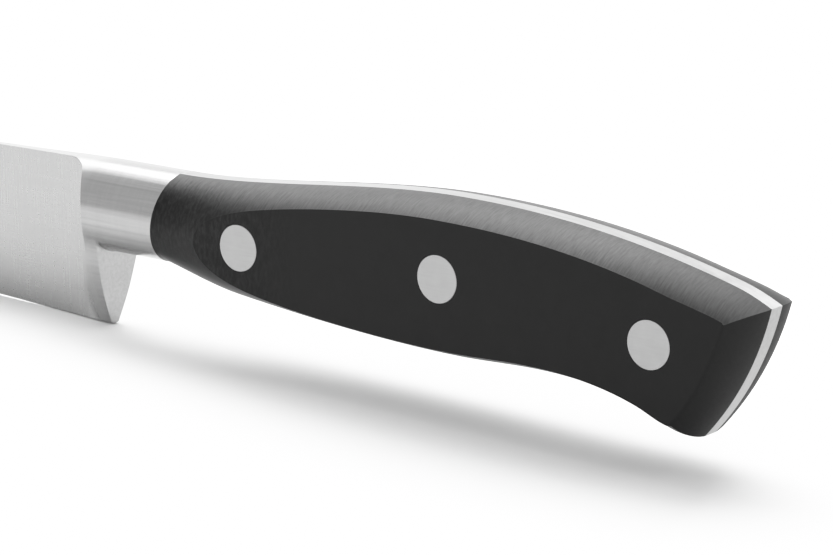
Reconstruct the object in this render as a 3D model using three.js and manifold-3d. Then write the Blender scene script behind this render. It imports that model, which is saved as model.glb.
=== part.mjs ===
// Fillet knife: blade, bolster and full tang forged in one piece, two scales and three two-part rivets.
// Millimetres. +X runs from the butt to the tip, +Y to the knife's left side, +Z from edge to spine.
// The knife is drawn about the bolster seam, at the middle rivet's height, and moved at the end.
import * as THREE from 'three';
import { mergeVertices } from 'three/addons/utils/BufferGeometryUtils.js';
import Module from 'manifold-3d';

// Blade
const bladeLength = 200;
const heelDepth = 19.2;
const spineThickness = 2.0;
const tipThickness = 0.9;
const heelEdgeThickness = 0.6;
const bevelHeight = 0.55;
const spineSlope = -0.027;
const edgeSlope = 0.0255;
const bellyStart = 135;
const bellyHeight = -14.4;
const bellySlope = 0.07;
const tipHeight = 0.8;
const tipSpineSlope = -0.05;
const tipEdgeSlope = 0.72;
const tipBlunt = 0.3;
const tipBevelShare = 0.4;

// Bolster
const neckDiameter = 14.04;
const neckAxis = -0.2;
const neckLength = 13.35;
const heelJoinAngle = 45;
const heelTaper = 1.5;
const heelFillet = 1.6;
const flareLead = 0.6;
const flareLength = 5.6;

// Handle, with distances measured back from the seam and heights from the middle rivet
const handleLength = 106;
const handleWidth = 16.6;
const seamLean = 8.7;
const tangThickness = 2.6;
const collarLength = 1.5;
const crestBack = 53.7;
const crestHeight = 10.54;
const rumpToButt = 6;
const rumpHeight = 4.65;
const rumpSlope = -0.267;
const cornerHeight = 2.3;
const cornerSlope = -0.5;
const seamUnderSlope = -0.248;
const throatBack = 15;
const throatHeight = -10;
const throatSlope = -0.074;
const undersideBack = 56.2;
const undersideHeight = -12.36;
const waistBack = 69.5;
const waistHeight = -11.98;
const flankToButt = 17;
const flankHeight = -14.95;
const flankSlope = -0.364;
const hookToButt = 10.8;
const hookHeight = -17.2;
const swellStart = 5;
const swellEnd = 34;
const swellHalfWidth = 14;
const buttHalfWidth = 12.3;
const buttRadius = 45;
const buttLean = 13.8;
const buttCrown = 14;

// Rivets
const rivetHeadDiameter = 7;
const rivetHeadThickness = 3;
const tubeDiameter = 5;
const postDiameter = 3;
const rivetFit = 0.15;
const postEndGap = 0.5;
const tubeFloor = 1.2;
const rearRivetToButt = 15.14;
const rivets = [
  { name: 'front', back: 18.24, height: -0.9 },
  { name: 'middle', back: 54.85, height: 0 },
  { name: 'rear', back: handleLength - rearRivetToButt, height: -3.64 },
];

// Facets
const lowerLevels = 7;
const upperLevels = 11;
const filletSteps = 3;
const flareSteps = 9;
const bladeSteps = 15;
const handleSteps = 34;
const handleSides = 48;
const drumSides = 180;
const drumLevels = 12;
const rivetSides = 32;

const overshoot = 12;
const degree = Math.PI / 180;
const neckRadius = neckDiameter / 2;
const tangHalf = tangThickness / 2;
const cheek = handleWidth / 2;
const spineHalf = spineThickness / 2;
const heelX = neckLength;
const tipX = neckLength + bladeLength;

const wasm = await Module();
wasm.setup();

function mix(a, b, t) {
  return a + (b - a) * t;
}

function smooth(t) {
  const u = Math.min(Math.max(t, 0), 1);
  return u * u * (3 - 2 * u);
}

// A smooth line through stations of place, value and slope, carried on straight past its ends.
function lineThrough(stations) {
  return (place) => {
    const first = stations[0];
    const last = stations[stations.length - 1];
    if (place <= first[0]) return first[1] + first[2] * (place - first[0]);
    if (place >= last[0]) return last[1] + last[2] * (place - last[0]);
    const next = stations.findIndex((station) => station[0] > place);
    const [placeA, valueA, slopeA] = stations[next - 1];
    const [placeB, valueB, slopeB] = stations[next];
    const span = placeB - placeA;
    const t = (place - placeA) / span;
    const rise = mix(valueA, valueB, t * t * (3 - 2 * t));
    const lead = slopeA * t * (1 - t) * (1 - t);
    const trail = slopeB * t * t * (t - 1);
    return rise + span * (lead + trail);
  };
}

// A closed solid through rings of equal point count, with a flat cap on the first and the last.
function loft(rings) {
  const count = rings[0].length;
  const positions = rings.flat().flatMap((point) => [point.x, point.y, point.z]);
  const faces = [];
  for (let ring = 0; ring + 1 < rings.length; ring++) {
    for (let side = 0; side < count; side++) {
      const a = ring * count + side;
      const b = ring * count + ((side + 1) % count);
      faces.push([a, b, b + count], [a, b + count, a + count]);
    }
  }
  const outline = rings[0].map((point) => new THREE.Vector2(point.y, point.z));
  const lastStart = (rings.length - 1) * count;
  const lastOutline = rings[rings.length - 1].map((point) => new THREE.Vector2(point.y, point.z));
  for (const [a, b, c] of THREE.ShapeUtils.triangulateShape(outline, [])) {
    faces.push([a, c, b]);
  }
  for (const [a, b, c] of THREE.ShapeUtils.triangulateShape(lastOutline, [])) {
    faces.push([lastStart + a, lastStart + b, lastStart + c]);
  }
  const geometry = new THREE.BufferGeometry();
  geometry.setAttribute('position', new THREE.Float32BufferAttribute(positions, 3));
  geometry.setIndex(faces.flat());
  return geometry;
}

function solid(geometry) {
  const bare = geometry.clone();
  bare.deleteAttribute('normal');
  bare.deleteAttribute('uv');
  const merged = mergeVertices(bare);
  const index = merged.index.array;
  const triangles = [];
  for (let i = 0; i < index.length; i += 3) {
    const [a, b, c] = index.slice(i, i + 3);
    if (a !== b && b !== c && c !== a) triangles.push(a, b, c);
  }
  const mesh = new wasm.Mesh({
    numProp: 3,
    vertProperties: new Float32Array(merged.attributes.position.array),
    triVerts: new Uint32Array(triangles),
  });
  return new wasm.Manifold(mesh);
}

function geometryOf(body) {
  const mesh = body.getMesh();
  const geometry = new THREE.BufferGeometry();
  geometry.setAttribute('position', new THREE.BufferAttribute(mesh.vertProperties, 3));
  geometry.setIndex(new THREE.BufferAttribute(mesh.triVerts, 1));
  geometry.computeVertexNormals();
  return geometry;
}

// A plate between two values of Y, cut to an outline of [x, z] points.
function plate(points, low, high) {
  const shape = new THREE.Shape(points.map(([x, z]) => new THREE.Vector2(x, z)));
  const geometry = new THREE.ExtrudeGeometry(shape, { depth: high - low, bevelEnabled: false });
  geometry.rotateX(Math.PI / 2);
  geometry.translate(0, high, 0);
  return solid(geometry);
}

function bore(diameter, low, high, rivet) {
  const radius = diameter / 2;
  const geometry = new THREE.CylinderGeometry(radius, radius, high - low, rivetSides);
  geometry.translate(-rivet.back, (low + high) / 2, rivet.height);
  return solid(geometry);
}

// Handle lines
const neckTop = neckAxis + neckRadius;
const topLine = lineThrough([
  [collarLength, neckTop, 0],
  [crestBack, crestHeight, 0],
  [handleLength - rumpToButt, rumpHeight, rumpSlope],
  [handleLength, cornerHeight, cornerSlope],
]);
const underLine = lineThrough([
  [0, neckAxis - neckRadius, seamUnderSlope],
  [throatBack, throatHeight, throatSlope],
  [undersideBack, undersideHeight, 0],
  [waistBack, waistHeight, 0],
  [handleLength - flankToButt, flankHeight, flankSlope],
  [handleLength - hookToButt, hookHeight, 0],
]);
const swellLine = lineThrough([
  [swellStart, neckRadius, 0],
  [swellEnd, swellHalfWidth, 0],
  [handleLength, buttHalfWidth, 0],
]);

// The seam leans, so its place depends on the height.
function seamX(z) {
  return -Math.tan(seamLean * degree) * (z - neckAxis);
}

// Height of the handle's top (side 1) or underside (side -1) at a distance back and a half width.
function handleHeight(back, halfWidth, side) {
  const axis = (topLine(back) + underLine(back)) / 2;
  const reach = (topLine(back) - underLine(back)) / 2;
  const share = halfWidth / swellLine(back);
  return axis + side * reach * Math.sqrt(1 - share * share);
}

// The swelling bar that the scales are cut from, drawn past both ends of the handle.
function handleBar() {
  const rings = [];
  const start = handleLength + overshoot;
  for (let step = 0; step <= handleSteps; step++) {
    const back = mix(start, -overshoot, step / handleSteps);
    const inside = Math.max(back, 0);
    const axis = (topLine(inside) + underLine(inside)) / 2;
    const reach = (topLine(inside) - underLine(inside)) / 2;
    const ring = [];
    for (let side = 0; side < handleSides; side++) {
      const angle = (side / handleSides) * 2 * Math.PI;
      ring.push(new THREE.Vector3(
        -back,
        swellLine(inside) * Math.cos(angle),
        axis + reach * Math.sin(angle),
      ));
    }
    rings.push(ring);
  }
  return solid(loft(rings));
}

// The butt is ground to part of a crowned drum, whose axis lies across the handle.
const drumBack = handleLength - buttRadius * Math.cos(buttLean * degree);
const drumHeight = cornerHeight + buttRadius * Math.sin(buttLean * degree);

function crownDrop(y) {
  return buttCrown - Math.sqrt(buttCrown * buttCrown - y * y);
}

function buttDrum() {
  const reach = cheek + 1;
  const profile = [new THREE.Vector2(0, -reach)];
  for (let level = 0; level <= drumLevels; level++) {
    const y = mix(-reach, reach, level / drumLevels);
    profile.push(new THREE.Vector2(buttRadius - crownDrop(y), y));
  }
  profile.push(new THREE.Vector2(0, reach));
  const geometry = new THREE.LatheGeometry(profile, drumSides);
  geometry.translate(-drumBack, 0, drumHeight);
  return solid(geometry);
}

// What lies behind the butt and is ground away.
function buttWaste() {
  const length = buttRadius + 2 * overshoot;
  const height = 2 * buttRadius;
  const geometry = new THREE.BoxGeometry(length, 2 * cheek + 1, height);
  geometry.translate(-drumBack - length / 2, 0, drumHeight - height / 2);
  return solid(geometry).subtract(buttDrum());
}

function scaleBlank(low, high) {
  const top = crestHeight + overshoot;
  const bottom = hookHeight - overshoot;
  const rear = -handleLength - 2 * overshoot;
  const outline = [[seamX(bottom), bottom], [seamX(top), top], [rear, top], [rear, bottom]];
  return plate(outline, low, high);
}

// One scale, with a stepped hole for each rivet: a seat for the head and a passage for the tube.
function scaleBody(side, bar) {
  const low = side > 0 ? tangHalf : -cheek;
  const high = side > 0 ? cheek : -tangHalf;
  let body = bar.intersect(scaleBlank(low, high));
  for (const rivet of rivets) {
    const seat = side * (cheek - rivetHeadThickness);
    const outside = side * (cheek + 1);
    const head = rivetHeadDiameter + 2 * rivetFit;
    const passage = tubeDiameter + 2 * rivetFit;
    body = body.subtract(bore(head, Math.min(seat, outside), Math.max(seat, outside), rivet));
    body = body.subtract(bore(passage, -cheek - 1, cheek + 1, rivet));
  }
  return body;
}

// Distance back at which the tang's top or underside reaches the butt.
function buttMeeting(side) {
  const reach = buttRadius - crownDrop(tangHalf);
  let near = waistBack;
  let far = handleLength + overshoot;
  for (let halving = 0; halving < 40; halving++) {
    const middle = (near + far) / 2;
    const rise = handleHeight(middle, tangHalf, side) - drumHeight;
    if (Math.hypot(middle - drumBack, rise) < reach) near = middle;
    else far = middle;
  }
  return near;
}

// Tang: a plate that follows the scales' outline, with a stepped root that runs into the bolster.
const tangRoot = neckLength / 2;
const tangRootStep = tangHalf;

function tangOutline() {
  const topEnd = buttMeeting(1);
  const underEnd = buttMeeting(-1);
  const drumReach = buttRadius - crownDrop(tangHalf);
  const bearing = (back, side) => {
    return Math.asin((handleHeight(back, tangHalf, side) - drumHeight) / drumReach);
  };
  const topStep = handleHeight(0, tangHalf, 1) - tangRootStep;
  const underStep = handleHeight(0, tangHalf, -1) + tangRootStep;
  const points = [[tangRoot, underStep], [tangRoot, topStep]];
  for (let step = 0; step <= handleSteps; step++) {
    const back = mix(0, topEnd, step / handleSteps);
    const top = handleHeight(back, tangHalf, 1);
    points.push([step === 0 ? seamX(top) : -back, top]);
  }
  for (let step = 1; step < drumLevels; step++) {
    const angle = mix(bearing(topEnd, 1), bearing(underEnd, -1), step / drumLevels);
    points.push([-drumBack - drumReach * Math.cos(angle), drumHeight + drumReach * Math.sin(angle)]);
  }
  for (let step = handleSteps; step >= 0; step--) {
    const back = mix(0, underEnd, step / handleSteps);
    const under = handleHeight(back, tangHalf, -1);
    points.push([step === 0 ? seamX(under) : -back, under]);
  }
  return points;
}

// Blade lines, with distances measured forward from the heel
const spineLine = lineThrough([
  [0, neckTop, spineSlope],
  [bladeLength, tipHeight + tipBlunt / 2, tipSpineSlope],
]);
const edgeLine = lineThrough([
  [0, -heelDepth, edgeSlope],
  [bellyStart, bellyHeight, bellySlope],
  [bladeLength, tipHeight - tipBlunt / 2, tipEdgeSlope],
]);

// Both blade faces are flat, and thin towards the edge and the tip.
const edgeThinning = (spineHalf - heelEdgeThickness / 2) / (neckTop + heelDepth);
const tipThinning = (spineHalf - tipThickness / 2 - edgeThinning * (neckTop - tipHeight)) / bladeLength;

function bladeHalf(forward, z) {
  return spineHalf - tipThinning * forward - edgeThinning * (neckTop - z);
}

// Angles up one side of the neck, from its lowest line to the flat that carries on the tang and the spine.
const neckAngles = [];
for (let level = 0; level <= lowerLevels; level++) {
  neckAngles.push(mix(0, heelJoinAngle * degree, level / lowerLevels));
}
for (let level = 1; level <= upperLevels; level++) {
  const flat = Math.PI - Math.asin(tangHalf / neckRadius);
  neckAngles.push(mix(heelJoinAngle * degree, flat, level / upperLevels));
}

// One side of the neck as [y, z], grown at its underside by a fillet's reach.
function neckSide(growth) {
  return neckAngles.map((angle, level) => {
    const share = Math.max(0, 1 - level / lowerLevels);
    const radius = neckRadius + growth * Math.sqrt(share);
    return [radius * Math.sin(angle), neckAxis - radius * Math.cos(angle)];
  });
}

// One side of the heel's rear face as [y, z]: the neck above, and below it a shield that narrows to the edge.
const joinHeight = neckAxis - neckRadius * Math.cos(heelJoinAngle * degree);
const joinHalf = neckRadius * Math.sin(heelJoinAngle * degree);

function heelSide() {
  return neckSide(0).map(([y, z], level) => {
    if (level === 0) return [0, -heelDepth];
    if (level >= lowerLevels) return [y, z];
    const height = mix(-heelDepth + bevelHeight, joinHeight, (level - 1) / (lowerLevels - 1));
    const share = (joinHeight - height) / (joinHeight + heelDepth);
    return [joinHalf * (1 - share ** heelTaper), height];
  });
}

// A ring from one side's [y, z] points, mirrored to the other side, at a place that may depend on the height.
function forgingRing(side, place) {
  const left = side.map(([y, z]) => new THREE.Vector3(place(z), y, z));
  const right = side.slice(1).map(([y, z]) => new THREE.Vector3(place(z), -y, z));
  return [...left, ...right.reverse()];
}

// One side of the blade as [y, z], still swollen by the bolster's flare close to the heel.
function bladeSide(forward, heel) {
  const edge = edgeLine(forward);
  const spine = spineLine(forward);
  const flare = 1 - smooth((forward - flareLead) / flareLength);
  const bevel = Math.min(bevelHeight, (spine - edge) * tipBevelShare);
  return heel.map(([y, z], level) => {
    if (level === 0) return [0, edge];
    const share = (z + heelDepth - bevelHeight) / (neckTop + heelDepth - bevelHeight);
    const height = mix(edge + bevel, spine, share);
    return [mix(bladeHalf(forward, height), y, flare), height];
  });
}

function bladeAndBolster() {
  const heel = heelSide();
  const rings = [forgingRing(neckSide(0), seamX)];
  for (let step = 0; step <= filletSteps; step++) {
    const turn = (step / filletSteps) * Math.PI / 2;
    const growth = heelFillet * (1 - Math.cos(turn));
    const place = heelX - heelFillet * (1 - Math.sin(turn));
    rings.push(forgingRing(neckSide(growth), () => place));
  }
  rings.push(forgingRing(heel, () => heelX));
  for (let step = 1; step <= flareSteps; step++) {
    const forward = flareLead + (flareLength * (step - 1)) / (flareSteps - 1);
    rings.push(forgingRing(bladeSide(forward, heel), () => heelX + forward));
  }
  for (let step = 1; step <= bladeSteps; step++) {
    const share = Math.sin((step / bladeSteps) * Math.PI / 2);
    const forward = mix(flareLead + flareLength, bladeLength, share);
    rings.push(forgingRing(bladeSide(forward, heel), () => heelX + forward));
  }
  return solid(loft(rings));
}

function forgingBody() {
  let body = bladeAndBolster().add(plate(tangOutline(), -tangHalf, tangHalf));
  for (const rivet of rivets) {
    body = body.subtract(bore(tubeDiameter + 2 * rivetFit, -cheek, cheek, rivet));
  }
  return body;
}

// The rivet's hollow half: a flush head on the left cheek and a tube that runs to the other seat.
function rivetTube() {
  const head = rivetHeadDiameter / 2;
  const outer = tubeDiameter / 2;
  const inner = postDiameter / 2 + rivetFit;
  const seat = cheek - rivetHeadThickness;
  const end = -seat + postEndGap;
  const floor = cheek - tubeFloor;
  const profile = [
    [0, floor], [inner, floor], [inner, end], [outer, end],
    [outer, seat], [head, seat], [head, cheek], [0, cheek],
  ];
  return new THREE.LatheGeometry(profile.map(([r, y]) => new THREE.Vector2(r, y)), rivetSides);
}

// The rivet's solid half: a flush head on the right cheek and the post that is driven into the tube.
function rivetPost() {
  const head = rivetHeadDiameter / 2;
  const outer = postDiameter / 2;
  const seat = -cheek + rivetHeadThickness;
  const end = cheek - tubeFloor - postEndGap;
  const profile = [[0, -cheek], [head, -cheek], [head, seat], [outer, seat], [outer, end], [0, end]];
  return new THREE.LatheGeometry(profile.map(([r, y]) => new THREE.Vector2(r, y)), rivetSides);
}

const steel = { color: 0xc9cbcc, roughness: 0.32, metalness: 1 };
const rivetSteel = { color: 0xbfc1c2, roughness: 0.38, metalness: 1 };
const blackPlastic = { color: 0x17181a, roughness: 0.45, metalness: 0 };

const knife = new THREE.Group();

function addPiece(name, geometry, finish) {
  const piece = new THREE.Mesh(geometry, new THREE.MeshStandardMaterial(finish));
  piece.name = name;
  knife.add(piece);
  return piece;
}

const bar = handleBar().subtract(buttWaste());
addPiece('blade_and_tang', geometryOf(forgingBody()), steel);
addPiece('scale_left', geometryOf(scaleBody(1, bar)), blackPlastic);
addPiece('scale_right', geometryOf(scaleBody(-1, bar)), blackPlastic);
for (const rivet of rivets) {
  const tube = addPiece(`rivet_${rivet.name}_tube`, rivetTube(), rivetSteel);
  const post = addPiece(`rivet_${rivet.name}_post`, rivetPost(), rivetSteel);
  tube.position.set(-rivet.back, 0, rivet.height);
  post.position.set(-rivet.back, 0, rivet.height);
}

// The origin lies under the middle of the knife's length, level with the heel.
knife.position.set((handleLength - tipX) / 2, 0, heelDepth);

export default knife;
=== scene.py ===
import math

import bmesh
import bpy
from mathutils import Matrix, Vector


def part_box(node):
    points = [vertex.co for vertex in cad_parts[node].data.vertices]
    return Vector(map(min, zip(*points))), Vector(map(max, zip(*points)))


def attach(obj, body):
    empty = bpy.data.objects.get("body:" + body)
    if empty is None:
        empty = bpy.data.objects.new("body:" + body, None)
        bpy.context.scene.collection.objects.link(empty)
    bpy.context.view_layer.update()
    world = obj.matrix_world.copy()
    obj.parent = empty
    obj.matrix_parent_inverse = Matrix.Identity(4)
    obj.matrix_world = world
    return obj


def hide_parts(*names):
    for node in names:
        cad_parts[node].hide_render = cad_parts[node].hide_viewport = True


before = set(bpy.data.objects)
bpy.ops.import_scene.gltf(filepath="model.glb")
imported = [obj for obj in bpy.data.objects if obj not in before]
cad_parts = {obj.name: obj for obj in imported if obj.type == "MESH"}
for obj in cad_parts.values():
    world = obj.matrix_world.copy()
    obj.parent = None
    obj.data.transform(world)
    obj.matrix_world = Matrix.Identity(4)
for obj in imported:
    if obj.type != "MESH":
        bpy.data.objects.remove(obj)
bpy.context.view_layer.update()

mm = 0.001  # shape values are in millimetres, meshes in metres
hair = 0.001 * mm  # too little to see
rivetNames = ["front", "middle", "rear"]


def mix(a, b, t):
    return a + (b - a) * t


def smooth(t):
    t = min(max(t, 0), 1)
    return t * t * (3 - 2 * t)


def bisect(low, high, isLow):  # the place between low and high where isLow turns false
    for halving in range(40):
        middle = (low + high) / 2
        low, high = (middle, high) if isLow(middle) else (low, middle)
    return low


def lineThrough(stations):  # smooth line through (place, value, slope), straight past its ends
    def line(place):
        if place <= stations[0][0]:
            return stations[0][1] + stations[0][2] * (place - stations[0][0])
        if place >= stations[-1][0]:
            return stations[-1][1] + stations[-1][2] * (place - stations[-1][0])
        after = next(i for i, station in enumerate(stations) if station[0] > place)
        (placeA, valueA, slopeA), (placeB, valueB, slopeB) = stations[after - 1:after + 1]
        span = placeB - placeA
        t = (place - placeA) / span
        bend = slopeA * t * (1 - t) ** 2 + slopeB * t * t * (t - 1)
        return mix(valueA, valueB, smooth(t)) + span * bend
    return line


# Node trees
class Value:  # a socket of a node tree: arithmetic on it adds Math nodes
    def __init__(self, net, socket):
        self.net = net
        self.socket = socket

    def __add__(self, other):
        return self.net.math("ADD", self, other)

    def __sub__(self, other):
        return self.net.math("SUBTRACT", self, other)

    def __rsub__(self, other):
        return self.net.math("SUBTRACT", other, self)

    def __mul__(self, other):
        return self.net.math("MULTIPLY", self, other)

    def __truediv__(self, other):
        return self.net.math("DIVIDE", self, other)

    __radd__ = __add__
    __rmul__ = __mul__


class Net:  # a node tree under construction
    def __init__(self, tree):
        self.tree = tree

    def make(self, kind, settings=None, sockets=None):  # one node: settings first, then values or links
        node = self.tree.nodes.new(kind)
        for name, value in (settings or {}).items():
            setattr(node, name, value)
        for name, value in (sockets or {}).items():
            for socket, part in self.targets(node, name, value):
                if isinstance(part, Value):
                    self.tree.links.new(part.socket, socket)
                else:
                    socket.default_value = part
        return node

    def targets(self, node, name, value):  # a list feeds one shared input, or all inputs in turn
        if name == "all":
            return list(zip(node.inputs, value))
        if isinstance(value, list):
            return [(node.inputs[name], part) for part in value]
        return [(node.inputs[name], value)]

    def out(self, node, name):
        return Value(self, node.outputs[name])

    def math(self, operation, *values):
        node = self.make("ShaderNodeMath", {"operation": operation}, {"all": values})
        return Value(self, node.outputs[0])

    def ease(self, value, low, high):  # 0 below low, 1 above high, smooth between
        node = self.make("ShaderNodeMapRange", {"interpolation_type": "SMOOTHSTEP"},
                         {"Value": value, "From Min": low, "From Max": high})
        return self.out(node, "Result")

    def clamp(self, value):
        return self.out(self.make("ShaderNodeClamp", {}, {"Value": value}), "Result")

    def ripple(self, vector, scale, detail, roughness):  # noise about zero
        stretched = self.make("ShaderNodeMapping", {}, {"Vector": vector, "Scale": scale})
        node = self.make("ShaderNodeTexNoise", {}, {
            "Vector": self.out(stretched, "Vector"),
            "Scale": 1, "Detail": detail, "Roughness": roughness,
        })
        return self.out(node, "Fac") - 0.5

    def grey(self, value):  # a number as a colour
        node = self.make("ShaderNodeCombineColor", {}, {"Red": value, "Green": value, "Blue": value})
        return self.out(node, "Color")

    def bump(self, look, height):
        node = self.make("ShaderNodeBump", {}, {
            "Strength": look["bumpStrength"], "Distance": look["bumpDepth"] * mm, "Height": height,
        })
        return self.out(node, "Normal")


def shaderNet(name):
    material = bpy.data.materials.new(name)
    material.use_nodes = True
    material.node_tree.nodes.clear()
    return material, Net(material.node_tree)


def surface(net, constants, varying):  # a principled surface with its output
    shader = net.make("ShaderNodeBsdfPrincipled", {}, {**constants, **varying})
    net.make("ShaderNodeOutputMaterial", {}, {"Surface": net.out(shader, "BSDF")})


def objectPlace(net):
    return net.out(net.make("ShaderNodeTexCoord"), "Object")


def geometryNet(name, inputs):  # a modifier's tree with named number inputs
    tree = bpy.data.node_groups.new(name, "GeometryNodeTree")
    tree.interface.new_socket("Geometry", in_out="INPUT", socket_type="NodeSocketGeometry")
    tree.interface.new_socket("Geometry", in_out="OUTPUT", socket_type="NodeSocketGeometry")
    identifiers = {}
    for label, value in inputs.items():
        kind = "NodeSocketInt" if isinstance(value, int) else "NodeSocketFloat"
        socket = tree.interface.new_socket(label, in_out="INPUT", socket_type=kind)
        identifiers[label] = socket.identifier
    net = Net(tree)
    group = net.make("NodeGroupInput")
    return net, {label: net.out(group, label) for label in ["Geometry", *inputs]}, identifiers


def treeInputs(values):  # counts stay as they are, lengths go to metres
    return {label: value if isinstance(value, int) else value * mm for label, value in values.items()}


def runTree(name, base, net, geometry, identifiers, inputs, material):  # ends the tree, gives its mesh
    realized = net.make("GeometryNodeRealizeInstances", {}, {"Geometry": geometry})
    dressed = net.make("GeometryNodeSetMaterial", {}, {
        "Geometry": net.out(realized, "Geometry"), "Material": material,
    })
    net.make("NodeGroupOutput", {}, {"Geometry": net.out(dressed, "Geometry")})
    carrier = bpy.data.objects.new(name, base)
    bpy.context.scene.collection.objects.link(carrier)
    modifier = carrier.modifiers.new(name, "NODES")
    modifier.node_group = net.tree
    for label, value in inputs.items():
        modifier[identifiers[label]] = value
    evaluated = carrier.evaluated_get(bpy.context.evaluated_depsgraph_get())
    mesh = bpy.data.meshes.new_from_object(evaluated)
    carrier.modifiers.remove(modifier)
    bpy.data.objects.remove(carrier)
    return mesh


# Frame
handle = {
    "length": 106,  # seam to the butt's top corner
    "middleRivet": 54.85,  # seam to the middle rivet, whose height is zero
    "seamLean": 8.7,  # degrees
    "topLine": [(1.5, 6.82, 0), (53.7, 10.54, 0), (100, 4.65, -0.267), (106, 2.3, -0.5)],
    "underLine": [(0, -7.22, -0.248), (15, -10, -0.074), (56.2, -12.36, 0),
                  (69.5, -11.98, 0), (89, -14.95, -0.364), (95.2, -17.2, 0)],
    "swellLine": [(0, 7.02, 0), (19.3, 10.6, 0.2), (38, 12.95, 0.07), (56, 13.6, 0), (106, 12.2, 0)],
    "buttRadius": 45,
    "buttLean": 13.8,  # degrees
    "buttCrown": 14,
}


def centreOf(node):
    low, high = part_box(node)
    return (low + high) / 2


scaleLow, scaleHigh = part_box("scale_left")
tangHalf = scaleLow.y / mm
cheek = scaleHigh.y / mm
seam = centreOf("rivet_middle_tube").x + handle["middleRivet"] * mm
level = centreOf("rivet_middle_tube").z


def at(back, y, height):  # a point given by its distance behind the seam
    return Vector((seam - back * mm, y * mm, level + height * mm))


rivets = []  # (distance behind the seam, height)
for rivetName in rivetNames:
    rivetCentre = centreOf(f"rivet_{rivetName}_tube")
    rivets.append(((seam - rivetCentre.x) / mm, (rivetCentre.z - level) / mm))
print("frame: seam at", round(seam, 5), "middle rivet at", round(level, 5))

topLine = lineThrough(handle["topLine"])
underLine = lineThrough(handle["underLine"])
swellLine = lineThrough(handle["swellLine"])
buttLean = math.radians(handle["buttLean"])
cornerHeight = handle["topLine"][-1][1]
drumBack = handle["length"] - handle["buttRadius"] * math.cos(buttLean)
drumHeight = cornerHeight + handle["buttRadius"] * math.sin(buttLean)


def onSection(back, share, side):  # share 0 at the tang, 1 at the cheek; side 1 on top, -1 underneath
    inside = max(back, 0)
    width = swellLine(inside)
    top, under = topLine(inside), underLine(inside)
    angle = mix(math.acos(tangHalf / width), math.acos(min(1, cheek / width)), share)
    return width * math.cos(angle), (top + under) / 2 + side * (top - under) / 2 * math.sin(angle)


def turnAngle(back, y):  # how far a shoulder's normal turns away from the cheek's
    inside = max(back, 0)
    width = swellLine(inside)
    halfHeight = (topLine(inside) - underLine(inside)) / 2
    angle = math.acos(min(1, y / width))
    return math.atan2(math.sin(angle) * width, math.cos(angle) * halfHeight)


def drumRadius(y):
    crown = handle["buttCrown"]
    return handle["buttRadius"] - crown + math.sqrt(crown * crown - y * y)


def drumAngle(back, height):
    return math.atan2(height - drumHeight, back - drumBack)


def onDrum(angle, y):
    radius = drumRadius(y)
    return drumBack + radius * math.cos(angle), y, drumHeight + radius * math.sin(angle)


def mitreBack(share, side):  # where the shoulder meets the butt
    def inButt(back):
        y, height = onSection(back, share, side)
        return math.hypot(back - drumBack, height - drumHeight) < drumRadius(y)
    return bisect(handle["underLine"][-2][0], handle["length"] + handle["buttCrown"], inButt)


# Meshes
def newPiece(name, bm, material, sharpAngle=28):
    bmesh.ops.remove_doubles(bm, verts=bm.verts, dist=hair / 5)
    bmesh.ops.dissolve_degenerate(bm, edges=bm.edges, dist=hair / 100)
    bmesh.ops.recalc_face_normals(bm, faces=bm.faces)
    for edge in bm.edges:
        edge.smooth = edge.calc_face_angle(math.pi) < math.radians(sharpAngle)
    openEdges = sum(1 for edge in bm.edges if len(edge.link_faces) != 2)
    mesh = bpy.data.meshes.new(name)
    bm.to_mesh(mesh)
    bm.free()
    mesh.materials.clear()
    mesh.materials.append(material)
    piece = bpy.data.objects.new(name, mesh)
    bpy.context.scene.collection.objects.link(piece)
    print("piece:", name, len(mesh.polygons), "faces,", openEdges, "open edges")
    return piece


def addLoop(bm, points):  # a closed run of edges
    verts = [bm.verts.new(at(*point)) for point in points]
    return [bm.edges.new(pair) for pair in zip(verts, verts[1:] + verts[:1])]


def addFace(bm, points):
    return bm.faces.new([bm.verts.new(at(*point)) for point in points])


def addGrid(bm, rows, side=1, dress=None):  # quads through rows of points; dress gives corners their data
    verts = [[bm.verts.new(at(back, side * y, height)) for back, y, height in row] for row in rows]
    for r in range(len(rows) - 1):
        for c in range(len(rows[0]) - 1):
            corners = [(r, c), (r, c + 1), (r + 1, c + 1), (r + 1, c)]
            face = bm.faces.new([verts[i][j] for i, j in corners])
            face.smooth = True
            if dress:
                for loop, corner in zip(face.loops, corners):
                    dress(loop, *corner)


def circle(centre, radius, y, sides):
    turns = [2 * math.pi * side / sides for side in range(sides)]
    back, height = centre
    return [(back + radius * math.cos(turn), y, height + radius * math.sin(turn)) for turn in turns]


def addBore(bm, rims, side=1):  # a round wall through rings of points
    addGrid(bm, [rim + rim[:1] for rim in rims], side)


def fillFlat(bm, loops, facing):  # a flat face inside the first loop, with the others as holes
    edges = [edge for points in loops for edge in addLoop(bm, points)]
    made = bmesh.ops.triangle_fill(bm, use_beauty=True, edges=edges, normal=(0, facing, 0))
    return [face for face in made["geom"] if isinstance(face, bmesh.types.BMFace)]


# Bolster
bolster = {
    "radius": 7.02,
    "axis": -0.2,
    "neckLength": 13.35,
    "heelDepth": 18.95,
    "joinAngle": 55,  # degrees, where the heel's shield leaves the neck
    "heelLean": 4.2,  # degrees, forward towards the foot
    "heelMiddle": -12,  # height at which the leaning heel is one neck length from the seam
    "shieldLine": [(-18.75, 0.72, 0.55), (-16.5, 1.8, 0.44), (-13, 3.15, 0.31), (-9.5, 4.14, 0.26)],
    "fillet": 0.5,
    "filletLead": 0.1,  # a ring on the heel's face, ahead of the fillet
    "lowLevels": 60,
    "highLevels": 44,
    "filletSteps": 10,
    "neckSteps": 6,
}


def seamBack(height):
    return math.tan(math.radians(handle["seamLean"])) * (height - bolster["axis"])


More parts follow.
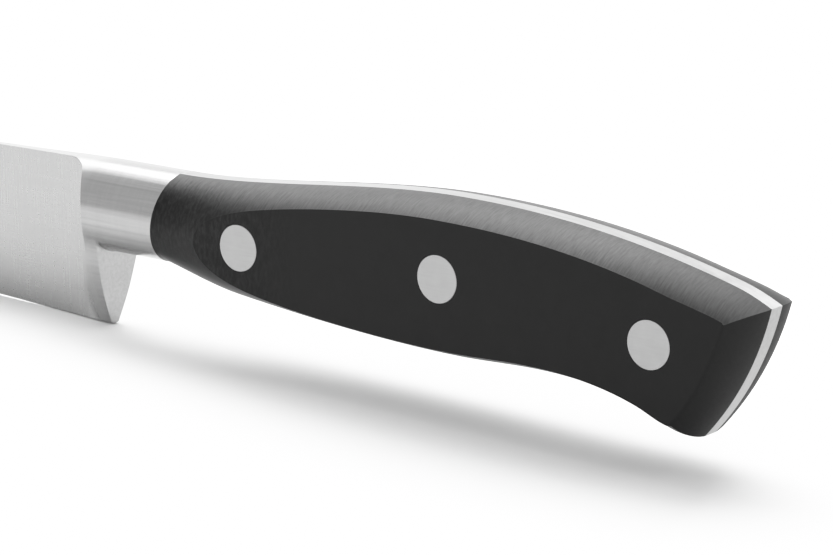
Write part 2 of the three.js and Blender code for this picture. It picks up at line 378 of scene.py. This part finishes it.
def seamPoint(share, side):
    back = 0
    for turn in range(6):  # settles within a few turns
        y, height = onSection(back, share, side)
        back = seamBack(height)
    return back


def heelForward(height):
    lean = math.tan(math.radians(bolster["heelLean"]))
    return bolster["neckLength"] + lean * (bolster["heelMiddle"] - height)


def shield():  # (y, height) up one side of the heel, from its foot to where it leaves the neck
    join, radius = math.radians(bolster["joinAngle"]), bolster["radius"]
    end = (bolster["axis"] - radius * math.cos(join), radius * math.sin(join), 1 / math.tan(join))
    line = lineThrough([*bolster["shieldLine"], end])
    low, high = bolster["shieldLine"][0][0], end[0]
    count = bolster["lowLevels"]
    heights = [mix(low, high, i / count) for i in range(count + 1)]
    return [(0, -bolster["heelDepth"])] + [(line(height), height) for height in heights]


def forgingSide(growth):  # (y, height) up one side of the neck, which the fillet grows into the shield
    radius, axis = bolster["radius"], bolster["axis"]
    points = []
    for y, height in shield():
        reach = math.hypot(y, height - axis)
        share = min(radius + growth, reach) / reach
        points.append((y * share, axis + (height - axis) * share))
    join, flat = math.radians(bolster["joinAngle"]), math.pi - math.asin(tangHalf / radius)
    for i in range(1, bolster["highLevels"] + 1):
        angle = mix(join, flat, i / bolster["highLevels"])
        points.append((radius * math.sin(angle), axis - radius * math.cos(angle)))
    return points


def forgingRing(side, forwardOf):  # both sides of a section, at a place that may depend on the height
    left = [(-forwardOf(height), y, height) for y, height in side]
    right = [(back, -y, height) for back, y, height in left[1:]]
    return left + right[::-1]


def bolsterMesh():  # its first points are the heel's outline, which the blade's tree carries on
    fillet = bolster["fillet"]
    growths = (bolster["heelDepth"], fillet + bolster["filletLead"])
    rings = [forgingRing(forgingSide(growth), heelForward) for growth in growths]
    for step in range(bolster["filletSteps"] + 1):
        turn = math.pi / 2 * (1 - step / bolster["filletSteps"])
        setBack = fillet * (1 - math.sin(turn))
        side = forgingSide(fillet * (1 - math.cos(turn)))
        rings.append(forgingRing(side, lambda height, setBack=setBack: heelForward(height) - setBack))
    neck = forgingSide(0)
    for step in range(1, bolster["neckSteps"] + 1):
        share = step / bolster["neckSteps"]
        rings.append(forgingRing(neck, lambda height, share=share: mix(
            heelForward(height) - fillet, -seamBack(height), share)))
    count = len(rings[0])
    points = [at(*point) for ring in rings for point in ring]
    faces = []
    for ring in range(len(rings) - 1):
        for i in range(count):
            near, far = ring * count + i, ring * count + (i + 1) % count
            faces.append((near, far, far + count, near + count))
    mesh = bpy.data.meshes.new("bolster")
    mesh.from_pydata(points, [], faces)
    return mesh, count


# Blade
blade = {
    "Length": 200.0,
    "Flare Corner": 4.9,  # where the flare's slope would meet the blade's face
    "Flare Round": 0.7,
    "Corner Lead": 1.7,  # how far the flare runs on under the spine
    "Foot Set Back": 2.4,  # how much sooner it ends at the foot
    "Flare Run": 2.3,  # past its corner
    "Spine Thickness": 1.48,
    "Tip Thickness": 0.9,
    "Edge Thickness": 0.4,
    "Root Length": 24.0,  # over which the spine thins from the tang's thickness
    "Foot Swell": 0.55,  # left thick beside the edge, ahead of the heel
    "Swell End": 12.5,
    "Bevel Height": 0.45,
    "Bevel Start": 12.0,
    "Bevel Full": 20.0,
    "Lead Stations": 14,
    "Flare Stations": 50,
    "Stations": 130,
}
bladeLines = {
    "spine": [(0, 6.7, -0.0195), (200, 0.95, -0.05)],
    "edge": [(0.5, -18.95, 0.015), (12, -18.68, 0.035), (24, -18.1, 0.036),
             (135, -14.15, 0.045), (200, 0.65, 0.72)],
    "flareSlope": 1.47,
    "tipBevelShare": 0.4,
    "swellShare": 0.16,  # of the blade's height
    "cornerShare": 0.94,
    "footShare": 0.22,
}


def treeLine(net, place, stations):  # lineThrough as nodes, in metres
    total = stations[0][1] * mm + level
    for (placeA, valueA, slopeA), (placeB, valueB, slopeB) in zip(stations, stations[1:]):
        span = (placeB - placeA) * mm
        t = net.clamp((place - placeA * mm) / span)
        rise = t * t * (3 - 2 * t) * (valueB - valueA) * mm
        total = total + rise + (t * (1 - t) * (1 - t) * slopeA + t * t * (t - 1) * slopeB) * span
    return total


def bladeHalf(net, given, forward, share):  # half the thickness, share 0 at the edge and 1 at the spine
    spineHalf = given["Spine Thickness"] / 2
    spineHalf = spineHalf + (given["Tip Thickness"] / 2 - spineHalf) * (forward / given["Length"])
    edgeHalf = given["Edge Thickness"] / 2
    root = (tangHalf * mm - spineHalf) * (1 - net.ease(forward, 0, given["Root Length"]))
    low = 1 - net.clamp(share / bladeLines["swellShare"])
    swell = given["Foot Swell"] * (1 - net.ease(forward, 0, given["Swell End"])) * low * low
    return edgeHalf + (spineHalf - edgeHalf) * share + root * share * share + swell


def bladeMesh(material):
    base, ringPoints = bolsterMesh()
    inputs = {**treeInputs(blade), "Ring Points": ringPoints}
    net, given, identifiers = geometryNet("bladeForging", inputs)
    top = level + bladeLines["spine"][0][1] * mm
    heelLow = level + bolster["shieldLine"][0][0] * mm
    foot = heelLow - (level - bolster["heelDepth"] * mm)
    start = seam + bolster["neckLength"] * mm

    grid = net.make("GeometryNodeMeshGrid", {}, {
        "Vertices X": given["Ring Points"] + 1, "Vertices Y": given["Stations"],
    })
    index = net.out(net.make("GeometryNodeInputIndex"), "Index")
    station = net.math("MODULO", index, given["Stations"])
    ringIndex = net.math("FLOOR", (index + 0.5) / given["Stations"])
    ringIndex = net.math("MODULO", ringIndex, given["Ring Points"])
    position = net.out(net.make("GeometryNodeInputPosition"), "Position")
    heelPoint = net.make("GeometryNodeSampleIndex", {"data_type": "FLOAT_VECTOR"}, {
        "Geometry": given["Geometry"], "Value": position, "Index": ringIndex,
    })
    parts = net.make("ShaderNodeSeparateXYZ", {}, {"Vector": net.out(heelPoint, "Value")})
    heelX, heelY, heelZ = (net.out(parts, axis) for axis in "XYZ")
    heelHalf = net.math("ABSOLUTE", heelY)
    share = (heelZ - heelLow) / (top - heelLow)

    # the heel's outline runs straight on until the flare cuts it down to the blade's face
    lead = net.clamp(station / given["Lead Stations"])
    flareStations = given["Flare Stations"] - given["Lead Stations"]
    inFlare = net.clamp((station - given["Lead Stations"]) / flareStations)
    late = net.math("MAXIMUM", station - given["Flare Stations"], 0)
    late = late / (given["Stations"] - 1 - given["Flare Stations"])
    slope = bladeLines["flareSlope"]
    bend = given["Flare Round"] * given["Flare Round"]
    nearSpine = net.clamp((share - bladeLines["cornerShare"]) / (1 - bladeLines["cornerShare"]))
    nearSpine = nearSpine * nearSpine
    nearFoot = 1 - net.clamp(share / bladeLines["footShare"])
    corner = given["Flare Corner"] + given["Corner Lead"] * nearSpine * nearSpine
    corner = corner - given["Foot Set Back"] * nearFoot * nearFoot
    flareEnd = corner + given["Flare Run"]

    def flareHalf(before):  # what the flare adds, at a distance before its corner
        return (before + net.math("SQRT", before * before + bend)) * (slope / 2)

    endHalf = bladeHalf(net, given, flareEnd, share)
    extra = net.math("MAXIMUM", heelHalf - endHalf, hair) * (2 / slope)
    cut = corner - (extra * extra - bend) / (extra * 2)
    cut = net.math("MINIMUM", cut, flareEnd)
    forward = heelX - start
    forward = forward + lead * (cut - forward) + inFlare * (flareEnd - cut)
    forward = forward + (given["Length"] - flareEnd) * net.math("SINE", late * (math.pi / 2))

    spine = treeLine(net, forward, bladeLines["spine"])
    edge = treeLine(net, forward, bladeLines["edge"])
    ground = net.ease(forward, given["Bevel Start"], given["Bevel Full"])
    bevel = foot + (given["Bevel Height"] - foot) * ground
    bevel = net.math("MINIMUM", bevel, (spine - edge) * bladeLines["tipBevelShare"])
    height = edge + bevel + (spine - edge - bevel) * share
    half = bladeHalf(net, given, net.math("MAXIMUM", forward, flareEnd), share)
    half = half + flareHalf(corner - net.math("MAXIMUM", forward, cut))
    short = endHalf + flareHalf(corner - cut) - heelHalf
    half = half - short * (1 - lead)
    onEdge = net.math("LESS_THAN", heelHalf, 10 * hair)
    place = net.make("ShaderNodeCombineXYZ", {}, {
        "X": start + forward,
        "Y": net.math("SIGN", heelY) * half * (1 - onEdge),
        "Z": height + (edge - height) * onEdge,
    })
    skin = net.make("GeometryNodeSetPosition", {}, {
        "Geometry": net.out(grid, "Mesh"), "Position": net.out(place, "Vector"),
    })
    joined = net.make("GeometryNodeJoinGeometry", {}, {
        "Geometry": [net.out(skin, "Geometry"), given["Geometry"]],
    })
    merged = net.make("GeometryNodeMergeByDistance", {}, {
        "Geometry": net.out(joined, "Geometry"), "Distance": hair / 2,
    })
    return runTree("bladeForging", base, net, net.out(merged, "Geometry"), identifiers, inputs, material)


# Tang
tang = {"steps": 150, "buttSteps": 50, "root": 6.6, "rootStep": 1.3, "passage": 2.65, "holeSides": 48}


def addTang(bm):  # a plate flush with the scales, whose stepped root runs into the bolster
    outline = [(-tang["root"], onSection(0, 0, -1)[1] + tang["rootStep"]),
               (-tang["root"], onSection(0, 0, 1)[1] - tang["rootStep"])]
    ends = {side: mitreBack(0, side) for side in (1, -1)}
    bearings = {side: drumAngle(ends[side], onSection(ends[side], 0, side)[1]) for side in (1, -1)}
    for step in range(tang["steps"] + 1):
        back = mix(seamPoint(0, 1), ends[1], step / tang["steps"])
        outline.append((back, onSection(back, 0, 1)[1]))
    for step in range(1, tang["buttSteps"]):
        back, y, height = onDrum(mix(bearings[1], bearings[-1], step / tang["buttSteps"]), tangHalf)
        outline.append((back, height))
    for step in range(tang["steps"] + 1):
        back = mix(ends[-1], seamPoint(0, -1), step / tang["steps"])
        outline.append((back, onSection(back, 0, -1)[1]))
    for near, far in zip(outline, outline[1:] + outline[:1]):
        corners = [(*near, -1), (*far, -1), (*far, 1), (*near, 1)]
        face = addFace(bm, [(back, side * tangHalf, height) for back, height, side in corners])
        face.smooth = True
    for side in (1, -1):
        loops = [[(back, side * tangHalf, height) for back, height in outline]]
        loops += [circle(rivet, tang["passage"], side * tangHalf, tang["holeSides"]) for rivet in rivets]
        fillFlat(bm, loops, side)
    for rivet in rivets:
        rims = [circle(rivet, tang["passage"], y, tang["holeSides"]) for y in (tangHalf, -tangHalf)]
        addBore(bm, rims)


def makeForging(material):
    bm = bmesh.new()
    bm.from_mesh(bladeMesh(material))
    rims = [edge for edge in bm.edges if len(edge.link_faces) == 1]
    bmesh.ops.holes_fill(bm, edges=rims, sides=0)
    for face in bm.faces:
        face.smooth = True
    addTang(bm)
    return newPiece("blade_bolster_tang", bm, material)


# Scales
scale = {
    "frontColumns": 26,  # from the seam to where the flat cheek begins
    "ovalColumns": 24,  # round the cheek's front
    "rearColumns": 120,
    "ovalEnd": 22,
    "rows": 26,
    "buttSteps": 60,
    "edgeRound": 0.3,
    "edgeRoundAngle": 25,  # degrees of crease at which the rounding is full
    "edgeSteps": 4,
    "sandingLightFrom": 36,  # degrees that a shoulder turns away from the cheek, over which its sanding sets in; the lighter tone this brings is partly painted light, where the top light falls
    "sandingLightFull": 62,
    "headHole": 3.52,
    "passage": 2.65,
    "seatDepth": 3.0,
    "holeSides": 80,
}


def scaleColumns():  # gives a row's places along the handle, from the shares of its two ends
    swellStart, swellEnd = handle["swellLine"][0][0], handle["swellLine"][1][0]
    cheekStart = bisect(swellStart, swellEnd, lambda back: swellLine(back) < cheek)
    endAngle = math.acos(cheek / swellLine(scale["ovalEnd"]))
    ovalBacks = []
    for step in range(1, scale["ovalColumns"] + 1):
        wanted = cheek / math.cos(endAngle * step / scale["ovalColumns"])
        ovalBacks.append(bisect(cheekStart, scale["ovalEnd"] + 1, lambda back: swellLine(back) < wanted))

    def columns(frontShare, rearShare, side):
        front, rear = seamPoint(frontShare, side), mitreBack(rearShare, side)
        backs = [mix(front, cheekStart, c / scale["frontColumns"]) for c in range(scale["frontColumns"])]
        backs += [cheekStart] + ovalBacks
        start = ovalBacks[-1]
        backs += [mix(start, rear, c / scale["rearColumns"]) for c in range(1, scale["rearColumns"] + 1)]
        return backs
    return columns


def inset(crease, amounts, inward):  # the crease's points moved into the cheek, square to the crease
    moved = []
    for i, (back, y, height) in enumerate(crease):
        before, after = crease[max(i - 1, 0)], crease[min(i + 1, len(crease) - 1)]
        along = Vector((after[0] - before[0], after[2] - before[2])).normalized()
        normal = Vector((-along.y, along.x)) * inward
        moved.append((back + normal.x * amounts[i], y, height + normal.y * amounts[i]))
    return moved


def insetCorner(corner, directions, amount):
    first, second = [Vector(direction).normalized() for direction in directions]
    reach = (first + second) * amount / (1 + first.dot(second))
    return corner[0] + reach.x, corner[1], corner[2] + reach.y


def roundEdge(start, crease, end):  # rows of points that round the crease from start to end
    rows = []
    for step in range(scale["edgeSteps"] + 1):
        t = step / scale["edgeSteps"]
        row = []
        for points in zip(start, crease, end):
            row.append(tuple(mix(mix(a, b, t), mix(b, c, t), t) for a, b, c in zip(*points)))
        rows.append(row)
    return rows


# a shoulder's sanding by how far it turns from the cheek; the lighter tone it gives is partly real
# sanding and partly painted light
def sandingAndLightShare(back, y):
    low, high = math.radians(scale["sandingLightFrom"]), math.radians(scale["sandingLightFull"])
    return smooth((turnAngle(back, y) - low) / (high - low))


def shoulderRows(facing, columns, nearShare=0.9):  # a shoulder's points, and the rows that round its edge
    fullAngle = math.radians(scale["edgeRoundAngle"])
    creaseBacks = columns(1, 1, facing)
    rounds, shares = [], []
    for back in creaseBacks:
        amount = scale["edgeRound"] * smooth(turnAngle(back, cheek) / fullAngle)
        nearY, nearHeight = onSection(back, nearShare, facing)
        farY, farHeight = onSection(back, 1, facing)
        rounds.append(amount)
        shares.append(1 - (1 - nearShare) * amount / math.hypot(farY - nearY, farHeight - nearHeight))
    grid = []
    for r in range(scale["rows"] + 1):
        rowShares = [share * r / scale["rows"] for share in shares]
        backs = columns(rowShares[0], rowShares[-1], facing)
        places = zip(backs, rowShares)
        grid.append([(back, *onSection(back, share, facing)) for back, share in places])
    first = scale["frontColumns"]  # ahead of it the shoulders meet, with no cheek between
    crease = [(back, *onSection(back, 1, facing)) for back in creaseBacks][first:]
    return grid, (grid[-1][first:], crease, inset(crease, rounds[first:], facing))


def buttRows(shoulders, edges):  # the same for the butt, which runs from the upper shoulder to the lower
    turns = [step / scale["buttSteps"] for step in range(scale["buttSteps"] + 1)]
    grid = []
    for upper, lower in zip(shoulders[1], shoulders[-1]):
        (topBack, topY, topHeight), (lowBack, lowY, lowHeight) = upper[-1], lower[-1]
        topAngle, lowAngle = drumAngle(topBack, topHeight), drumAngle(lowBack, lowHeight)
        grid.append([onDrum(mix(topAngle, lowAngle, t), mix(topY, lowY, t)) for t in turns])
    corners = {facing: edges[facing][1][-1] for facing in (1, -1)}
    angles = [drumAngle(back, height) for back, y, height in corners.values()]
    crease = [onDrum(mix(*angles, t), cheek) for t in turns]
    inner = inset(crease, [scale["edgeRound"]] * len(crease), -1)
    for facing, place in ((1, 0), (-1, -1)):
        corner, shoulderInner = corners[facing], edges[facing][2]
        directions = [(point[0] - corner[0], point[2] - corner[2])
                      for point in (shoulderInner[-1], inner[place])]
        shoulderInner[-1] = inner[place] = insetCorner(corner, directions, scale["edgeRound"])
    return grid, (grid[-1], crease, inner)


def makeScale(name, side, material):
    bm = bmesh.new()
    grain = bm.loops.layers.uv.new("grain")
    finish = bm.loops.layers.float_color.new("finish")

    def dresser(points, onButt, edgeSteps=0):  # finish: shares of shoulder (sanding, and painted light where the shoulder turns from the cheek), butt and worn edge
        def dress(loop, i, j):
            back, y, height = points[i][j]
            loop[grain].uv = (back, height if onButt else y)  # in millimetres
            share = 1 - i / edgeSteps if edgeSteps else 1
            worn = 4 * share * (1 - share)
            sandingAndLight = 0 if onButt else share * sandingAndLightShare(back, cheek if edgeSteps else y)
            loop[finish] = (sandingAndLight, share if onButt else 0, worn, 1)
        return dress

    columns = scaleColumns()
    shoulders, edges = {}, {}
    for facing in (1, -1):
        shoulders[facing], edges[facing] = shoulderRows(facing, columns)
        addGrid(bm, shoulders[facing], side, dresser(shoulders[facing], False))
    butt, edges[0] = buttRows(shoulders, edges)
    addGrid(bm, butt, side, dresser(butt, True))
    for facing, rows in edges.items():
        strip = roundEdge(*rows)
        addGrid(bm, strip, side, dresser(strip, facing == 0, scale["edgeSteps"]))

    def mirrored(points):
        return [(back, side * y, height) for back, y, height in points]

    cheekLoop = edges[1][2] + edges[0][2][1:-1] + edges[-1][2][:0:-1]
    innerLoop = shoulders[1][0] + butt[0][1:-1] + shoulders[-1][0][::-1]
    holes = [circle(rivet, scale["headHole"], cheek, scale["holeSides"]) for rivet in rivets]
    passages = [circle(rivet, scale["passage"], tangHalf, scale["holeSides"]) for rivet in rivets]
    flats = fillFlat(bm, [mirrored(loop) for loop in [cheekLoop, *holes]], side)
    fillFlat(bm, [mirrored(loop) for loop in [innerLoop, *passages]], -side)
    for face in flats:
        for loop in face.loops:
            loop[finish] = (0, 0, 0, 1)
    seamLoop = [row[0] for row in shoulders[1]] + [row[0] for row in shoulders[-1][-2::-1]]
    addFace(bm, mirrored(seamLoop))
    seat = cheek - scale["seatDepth"]
    profile = [(scale["headHole"], cheek), (scale["headHole"], seat),
               (scale["passage"], seat), (scale["passage"], tangHalf)]
    for rivet in rivets:
        addBore(bm, [circle(rivet, radius, y, scale["holeSides"]) for radius, y in profile], side)
    return newPiece(name, bm, material)


# Rivets
rivetShape = {
    "Head Radius": 3.5,
    "Head Thickness": 2.95,
    "Rim Chamfer": 0.06,
    "Shank Radius": 2.5,
    "Sides": 96,
}


def makeRivets(material):
    base = bpy.data.meshes.new("rivetPlaces")
    base.from_pydata([at(back, 0, height) for back, height in rivets], [], [])
    inputs = {**treeInputs(rivetShape), "Reach": cheek * mm}
    net, given, identifiers = geometryNet("rivets", inputs)
    chamfer = given["Rim Chamfer"]
    body = net.make("GeometryNodeMeshCylinder", {}, {
        "Vertices": given["Sides"], "Radius": given["Head Radius"],
        "Depth": given["Head Thickness"] - chamfer,
    })
    raised = net.make("GeometryNodeExtrudeMesh", {"mode": "FACES"}, {
        "Mesh": net.out(body, "Mesh"), "Selection": net.out(body, "Top"),
        "Offset Scale": chamfer, "Individual": False,
    })
    chamfered = net.make("GeometryNodeScaleElements", {}, {
        "Geometry": net.out(raised, "Mesh"), "Selection": net.out(raised, "Top"),
        "Scale": 1 - chamfer / given["Head Radius"],
    })
    middle = given["Reach"] - (given["Head Thickness"] + chamfer) / 2
    parts = []
    for side in (1, -1):
        spot = net.make("ShaderNodeCombineXYZ", {}, {"Y": middle * side})
        turned = net.make("GeometryNodeTransform", {}, {
            "Geometry": net.out(chamfered, "Geometry"),
            "Translation": net.out(spot, "Vector"), "Rotation": (-side * math.pi / 2, 0, 0),
        })
        parts.append(net.out(turned, "Geometry"))
    shank = net.make("GeometryNodeMeshCylinder", {}, {
        "Vertices": given["Sides"], "Radius": given["Shank Radius"],
        "Depth": (given["Reach"] - given["Head Thickness"]) * 2,
    })
    laid = net.make("GeometryNodeTransform", {}, {
        "Geometry": net.out(shank, "Mesh"), "Rotation": (math.pi / 2, 0, 0),
    })
    joined = net.make("GeometryNodeJoinGeometry", {}, {"Geometry": [*parts, net.out(laid, "Geometry")]})
    placed = net.make("GeometryNodeInstanceOnPoints", {}, {
        "Points": given["Geometry"], "Instance": net.out(joined, "Geometry"),
    })
    mesh = runTree("rivets", base, net, net.out(placed, "Instances"), identifiers, inputs, material)
    bm = bmesh.new()
    bm.from_mesh(mesh)
    return newPiece("rivets", bm, material)


# Finishes: a pattern is given by its scale, detail and roughness
steelLook = {
    "bladeTone": 0.41,
    "neckTone": 0.37,
    "tangTone": 0.335,
    "bladeRoughness": 0.27,
    "neckRoughness": 0.24,
    "tangRoughness": 0.34,
    "bladeRun": 3,  # ahead of the heel, over which the blade's finish sets in
    "tangRun": (1, 2),  # behind the seam
    "grinding": ((2600, 40, 90), 3, 0.6),  # lines from spine to edge and round the neck
    "honing": ((60, 40, 3200), 2, 0.5),  # lines along the blade
    "polishing": ((30, 2000, 2000), 3, 0.6),  # lines along the neck
    "clouds": ((90, 90, 120), 3, 0.5),
    "grindingShare": 0.7,
    "honingShare": 0.4,
    "polishingShare": 2,
    "lineTone": 0.07,
    "cloudTone": 0.02,
    "lineRoughness": 0.06,
    "bumpStrength": 0.04,
    "bumpDepth": 0.03,
}
plasticLook = {
    "tone": 0.004,
    "roughness": 0.45,
    "ior": 1.285,
    "coatRoughness": 0.5,
    # the sanded shoulders' lighter tone, partly painted light
    "sandingLightTone": 0.016,
    "sandedGloss": 0.39,
    "buttSanding": 0.06,
    "buttRoughness": 0.12,  # on top of the cheeks'
    "frontRun": (10, 34),  # behind the seam, over which the rough front turns satin
    "rearShadeRun": (78, 106),  # over which the sanding fades and the shoulders darken, a painted shade towards the butt
    "rearFadeAndShade": 0.55,
    "sanding": ((3.4, 0.4, 1), 4, 0.65),
    "sandingTurn": 3,  # degrees
    "sandingTone": 0.07,
    "sandingGloss": 0.9,
    "sandingRoughness": 0.2,
    "specks": ((2400, 1500, 900), 3, 0.6),
    "speckTone": 0.05,
    "speckRoughness": 0.12,
    "speckHeight": 0.15,
    "frontHeight": 0.5,  # more on the rough front
    "mottling": ((260, 260, 260), 3, 0.6),
    "mottleTone": 0.003,
    "nicks": ((420, 420, 420), 2, 0.5),  # in the worn edges
    "nickLimits": (0.16, 0.22),
    "nickTone": 0.2,
    "bumpStrength": 0.15,
    "bumpDepth": 0.04,
}
rivetLook = {
    "tone": 0.355,
    "roughness": 0.34,
    "scratches": ((260, 400, 3600), 3, 0.6),
    "scratchTone": 0.05,
    "scratchRoughness": 0.12,
    "clouds": ((500, 500, 500), 2, 0.5),
    "cloudTone": 0.04,
    "bumpStrength": 0.15,
    "bumpDepth": 0.03,
}


def behindSeam(net, place, run):  # 0 ahead of the run, 1 behind it
    x = net.out(net.make("ShaderNodeSeparateXYZ", {}, {"Vector": place}), "X")
    return 1 - net.ease(x, seam - run[1] * mm, seam - run[0] * mm)


def makeSteel():
    look = steelLook
    material, net = shaderNet("satinSteel")
    place = objectPlace(net)
    patterns = ("grinding", "honing", "polishing", "clouds")
    grinding, honing, polishing, cloud = (net.ripple(place, *look[name]) for name in patterns)
    heel = -bolster["neckLength"]
    offBlade = behindSeam(net, place, (heel - look["bladeRun"], heel))
    onBlade = 1 - offBlade
    onTang = behindSeam(net, place, look["tangRun"])
    lines = grinding * look["grindingShare"] + honing * look["honingShare"] * onBlade
    lines = lines + polishing * look["polishingShare"] * offBlade

    def blend(kind):  # the neck's value, or the blade's or the tang's
        neck = look["neck" + kind]
        return neck + onBlade * (look["blade" + kind] - neck) + onTang * (look["tang" + kind] - neck)

    tone = blend("Tone") + lines * look["lineTone"] + cloud * look["cloudTone"]
    surface(net, {"Metallic": 1}, {
        "Base Color": net.grey(tone),
        "Roughness": blend("Roughness") + lines * look["lineRoughness"],
        "Normal": net.bump(look, lines * offBlade),
    })
    return material


def makePlastic():
    look = plasticLook
    material, net = shaderNet("blackPlastic")
    place = objectPlace(net)
    shares = net.make("ShaderNodeSeparateColor", {}, {
        "Color": net.out(net.make("ShaderNodeAttribute", {"attribute_name": "finish"}), "Color"),
    })
    shoulder, butt, edge = (net.out(shares, channel) for channel in ("Red", "Green", "Blue"))
    front = 1 - behindSeam(net, place, look["frontRun"])
    # the run towards the butt over which painted shade darkens the shoulders
    rear = behindSeam(net, place, look["rearShadeRun"])
    grain = net.out(net.make("ShaderNodeUVMap", {"uv_map": "grain"}), "UV")
    turned = net.make("ShaderNodeMapping", {}, {
        "Vector": grain, "Rotation": (0, 0, math.radians(look["sandingTurn"])),
    })
    sanding = net.ripple(net.out(turned, "Vector"), *look["sanding"])
    speck, mottle, nick = (net.ripple(place, *look[name]) for name in ("specks", "mottling", "nicks"))
    # towards the butt the sanding fades and the shoulders darken, a painted shade where less light falls
    sandingAndLight = (shoulder + butt * look["buttSanding"]) * (1 - rear * look["rearFadeAndShade"])
    tone = look["tone"] + mottle * look["mottleTone"] + speck * front * look["speckTone"]
    # the sanded shoulders' lighter tone: real sanding, and partly painted light where they turn from the
    # cheek
    tone = tone + sandingAndLight * (look["sandingLightTone"] + sanding * look["sandingTone"])
    tone = tone + net.ease(nick, *look["nickLimits"]) * edge * look["nickTone"]
    roughness = look["roughness"] + butt * look["buttRoughness"]
    roughness = roughness + speck * look["speckRoughness"] + sandingAndLight * sanding * look["sandingRoughness"]
    height = speck * (look["speckHeight"] + front * look["frontHeight"]) + sandingAndLight * sanding
    surface(net, {"IOR": look["ior"], "Coat Roughness": look["coatRoughness"]}, {
        "Base Color": net.grey(tone),
        "Roughness": roughness,
        "Coat Weight": net.clamp(sandingAndLight * (look["sandedGloss"] + sanding * look["sandingGloss"])),
        "Normal": net.bump(look, height),
    })
    return material


def makeRivetSteel():
    look = rivetLook
    material, net = shaderNet("rivetSteel")
    place = objectPlace(net)
    scratch, cloud = (net.ripple(place, *look[name]) for name in ("scratches", "clouds"))
    surface(net, {"Metallic": 1}, {
        "Base Color": net.grey(look["tone"] + scratch * look["scratchTone"] + cloud * look["cloudTone"]),
        "Roughness": look["roughness"] + scratch * look["scratchRoughness"],
        "Normal": net.bump(look, scratch),
    })
    return material


# Assembly
steel, plastic, rivetSteel = makeSteel(), makePlastic(), makeRivetSteel()
forging = makeForging(steel)
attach(forging, "root")
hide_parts("blade_and_tang")
for handleSide, sign in (("left", 1), ("right", -1)):
    piece = makeScale(f"handle_scale_{handleSide}", sign, plastic)
    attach(piece, "root")
    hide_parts(f"scale_{handleSide}")
rivetSet = makeRivets(rivetSteel)
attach(rivetSet, "root")
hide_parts(*[f"rivet_{name}_{half}" for name in rivetNames for half in ("tube", "post")])

# Studio
studio = {
    "floorSize": 6,
    "floorTone": 0.85,
    "floorRoughness": 0.9,
    "floorSheen": 0.1,
    "floorSlope": 0.033,  # the handle stands raised, so the floor falls away behind the heel
    "restPlace": -0.0323,  # where the edge rests, in metres
    "restHeight": 18.8,  # below the middle rivet
    "worldLevel": 0.89,
    "aim": (-0.09, 0, 0.02),
    "distance": 1.1,
    "softboxes": {  # bearing and elevation in degrees, size in metres
        "top": {"bearing": -60, "elevation": 62, "size": (1.1, 0.9), "level": 4.8},
        "side": {"bearing": -38, "elevation": 48, "size": (0.95, 0.47), "level": 1.0},
        "behind": {"bearing": -52, "elevation": 12, "size": (1.2, 0.5), "level": 0.7},
        "ahead": {"bearing": -20, "elevation": 28, "size": (0.8, 0.5), "level": 0.6},
        "front": {"bearing": 100, "elevation": 30, "size": (1.7, 1.0), "level": 0.3},
    },
}
lens = {
    "place": (-0.432148, 0.425597, 0.149177),
    "forward": (0.59923, -0.76422, -0.23853),
    "focal": 168.1,
    "sensor": 36,
    "brightest": 2,
    "whites": [(0.3, 0.3), (0.6, 0.6), (0.7, 0.7), (0.9, 0.86), (1.1, 0.95), (1.3, 0.99), (1.5, 1)],
}


def addFloor():
    bm = bmesh.new()
    bmesh.ops.create_grid(bm, x_segments=1, y_segments=1, size=studio["floorSize"])
    restHeight = level - studio["restHeight"] * mm
    for vert in bm.verts:
        vert.co.z = restHeight + studio["floorSlope"] * (vert.co.x - studio["restPlace"])
    mesh = bpy.data.meshes.new("floor")
    bm.to_mesh(mesh)
    bm.free()
    material, net = shaderNet("paleFloor")
    tone = studio["floorTone"]
    surface(net, {
        "Base Color": (tone, tone, tone, 1),
        "Roughness": studio["floorRoughness"], "Specular IOR Level": studio["floorSheen"],
    }, {})
    mesh.materials.append(material)
    floor = bpy.data.objects.new("floor", mesh)
    bpy.context.scene.collection.objects.link(floor)


def addSoftbox(name, values):
    bearing, elevation = math.radians(values["bearing"]), math.radians(values["elevation"])
    away = Vector((math.cos(elevation) * math.cos(bearing), math.cos(elevation) * math.sin(bearing),
                   math.sin(elevation)))
    light = bpy.data.lights.new(name, "AREA")
    light.shape = "RECTANGLE"
    light.size, light.size_y = values["size"]
    light.energy = values["level"] * math.pi * light.size * light.size_y
    lamp = bpy.data.objects.new(name, light)
    lamp.location = Vector(studio["aim"]) + away * studio["distance"]
    lamp.rotation_euler = away.to_track_quat("Z", "Y").to_euler()
    bpy.context.scene.collection.objects.link(lamp)


def setFilm(view):  # soft whites, as in the photograph
    view.view_transform = "Standard"
    view.use_curve_mapping = True
    film = view.curve_mapping
    film.clip_max_x = lens["brightest"]
    film.extend = "HORIZONTAL"
    for channel in range(3):
        points = film.curves[channel].points
        points[1].location = lens["whites"][-1]
        for brightness in lens["whites"][:-1]:
            points.new(*brightness)
    film.update()


addFloor()
for softboxName, softboxValues in studio["softboxes"].items():
    addSoftbox(softboxName, softboxValues)
world = bpy.data.worlds.new("studio")
world.use_nodes = True
background = world.node_tree.nodes["Background"]
background.inputs["Color"].default_value = (1, 1, 1, 1)
background.inputs["Strength"].default_value = studio["worldLevel"]
bpy.context.scene.world = world
setFilm(bpy.context.scene.view_settings)
print("studio:", len(studio["softboxes"]), "softboxes")

cameraData = bpy.data.cameras.new("camera")
cameraData.lens = lens["focal"]
cameraData.sensor_width = lens["sensor"]
camera = bpy.data.objects.new("camera", cameraData)
camera.location = lens["place"]
camera.rotation_euler = Vector(lens["forward"]).to_track_quat("-Z", "Y").to_euler()
bpy.context.scene.collection.objects.link(camera)
bpy.context.scene.camera = camera
